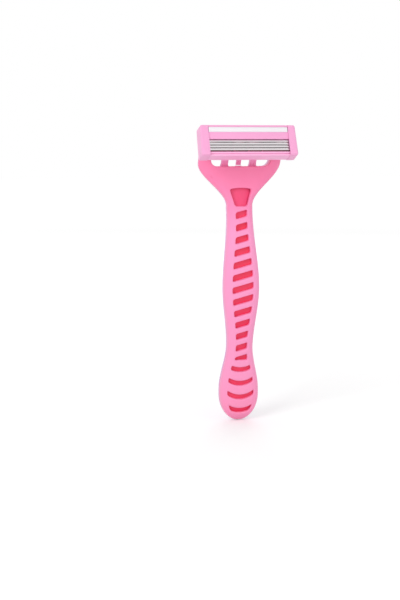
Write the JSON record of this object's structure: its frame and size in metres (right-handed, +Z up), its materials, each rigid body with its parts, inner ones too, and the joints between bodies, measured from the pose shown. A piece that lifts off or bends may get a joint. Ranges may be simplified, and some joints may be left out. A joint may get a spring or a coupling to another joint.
{
  "type": "cartridge razor",
  "caption": "Wet shaving razor with a windowed two-shell handle, a pivot fork with a return tongue, and a pivoting blade cartridge with strip and guard.",
  "frame": {"origin": "middle of the handle's grip, on the parting plane, where the hand holds the razor", "axes": "+Z up along the handle towards the head, -Y out of the blades' side, +X to the right seen from the front"},
  "size_m": [0.042, 0.0219, 0.13],
  "materials": {
    "front_pink": "smooth pink moulding, soft gloss",
    "core_hot_pink": "deep hot pink moulding seen through the windows",
    "back_lavender": "satin lavender moulding",
    "insert_pink": "soft pink grip insert",
    "fork_pink": "light pink moulding",
    "frame_hot_pink": "hot pink moulding",
    "cover_light_pink": "light pink moulding, soft gloss",
    "strip_white": "pale waxy strip",
    "guard_light_pink": "soft light pink guard",
    "blade_steel": "ground blade steel",
    "support_steel": "bent strip steel"
  },
  "bodies": {
    "handle": {"handle_front_shell": "front_pink", "handle_core": "core_hot_pink", "handle_back_shell": "back_lavender", "back_grip_insert": "insert_pink", "pivot_fork": "fork_pink"},
    "tongue": {"return_tongue": "fork_pink"},
    "head": {"cartridge_frame": "frame_hot_pink", "cartridge_cover": "cover_light_pink", "lubricating_strip": "strip_white", "guard_bar": "guard_light_pink", "left_end_cap": "cover_light_pink", "right_end_cap": "cover_light_pink", "blade_1": "blade_steel", "blade_2": "blade_steel", "blade_3": "blade_steel", "blade_4": "blade_steel", "blade_support_1": "support_steel", "blade_support_2": "support_steel", "blade_support_3": "support_steel", "blade_support_4": "support_steel"}
  },
  "joints": [
    {"name": "head_pivot", "type": "hinge", "parent": "handle", "child": "head", "pos_m": [0, -0.0031, 0.0624], "axis": [1, 0, 0], "range_deg": [-15, 25], "stiffness_Nm_per_rad": 0.02},
    {"name": "tongue_flex", "type": "hinge", "parent": "handle", "child": "tongue", "pos_m": [0, 0.0052, 0.05285], "axis": [1, 0, 0], "range_deg": [-11, 7]}
  ],
  "couplings": [
    {"joint": "tongue_flex", "follows": "head_pivot", "ratio": -0.34}
  ]
}
